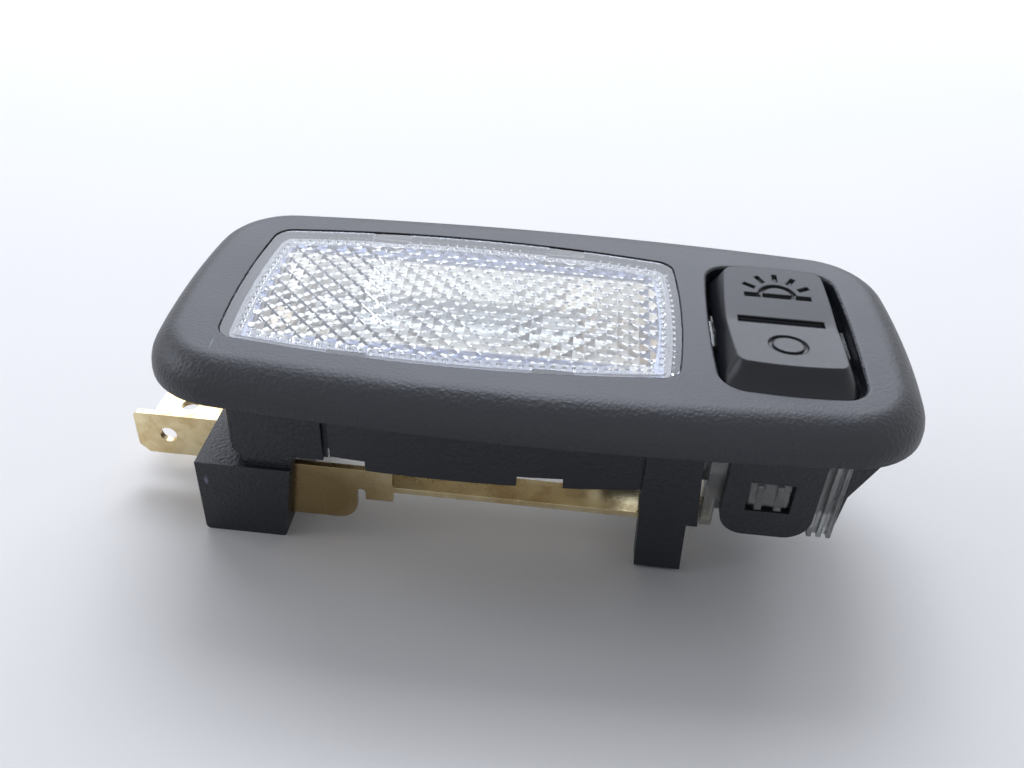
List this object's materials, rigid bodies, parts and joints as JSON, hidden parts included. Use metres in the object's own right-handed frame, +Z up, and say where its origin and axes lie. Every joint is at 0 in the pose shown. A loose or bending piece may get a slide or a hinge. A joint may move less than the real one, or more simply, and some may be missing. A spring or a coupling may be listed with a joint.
{
  "type": "car interior light",
  "caption": "Car interior light with a prismatic lens over a festoon bulb, a rocker switch and two 6.3 mm blade terminals.",
  "frame": {"origin": "middle of the whole lamp's box, on the plane its feet stand on", "axes": "+X along the lamp from the blade terminals to the switch, +Y away from the viewer of the picture, +Z up through the lens"},
  "size_m": [0.0928, 0.0414, 0.0294],
  "materials": {
    "housing_black": "fine leather grain moulded in",
    "rocker_black": "satin",
    "clear_plastic": "clear, glossy",
    "white_plastic": "satin white",
    "bulb_glass": "clear",
    "yellow_brass": "rolled, slightly dull",
    "spring_bronze": "rolled",
    "red_copper": "rolled",
    "nickel": "bright",
    "tungsten": "dull",
    "spring_steel": "bright",
    "silver": "bright",
    "natural_acetal": "satin"
  },
  "bodies": {
    "housing": {"bezel_body": "housing_black", "lens": "clear_plastic", "reflector": "white_plastic", "bulb_glass": "bulb_glass", "bulb_cap_left": "nickel", "bulb_cap_right": "nickel", "bulb_filament": "tungsten", "left_bulb_clip": "spring_bronze", "right_bulb_clip": "spring_bronze", "clip_rivets": "yellow_brass", "supply_busbar": "yellow_brass", "return_terminal": "yellow_brass", "lamp_rail": "yellow_brass", "switch_carrier": "clear_plastic", "supply_tip": "silver"},
    "rocker": {"rocker_button": "rocker_black", "plunger": "natural_acetal", "plunger_spring": "spring_steel"},
    "seesaw": {"contact_seesaw": "red_copper", "seesaw_tip": "silver"}
  },
  "joints": [
    {"name": "rocker_hinge", "type": "hinge", "parent": "housing", "child": "rocker", "pos_m": [0.03107, -0.0003, 0.0244], "axis": [1, 0, 0], "range_deg": [-4.5, 6.5]},
    {"name": "seesaw_pivot", "type": "hinge", "parent": "housing", "child": "seesaw", "pos_m": [0.03107, -0.0003, 0.0147], "axis": [1, 0, 0], "range_deg": [-6.5, 4.5]}
  ],
  "couplings": [
    {"joint": "seesaw_pivot", "follows": "rocker_hinge", "ratio": -1}
  ]
}
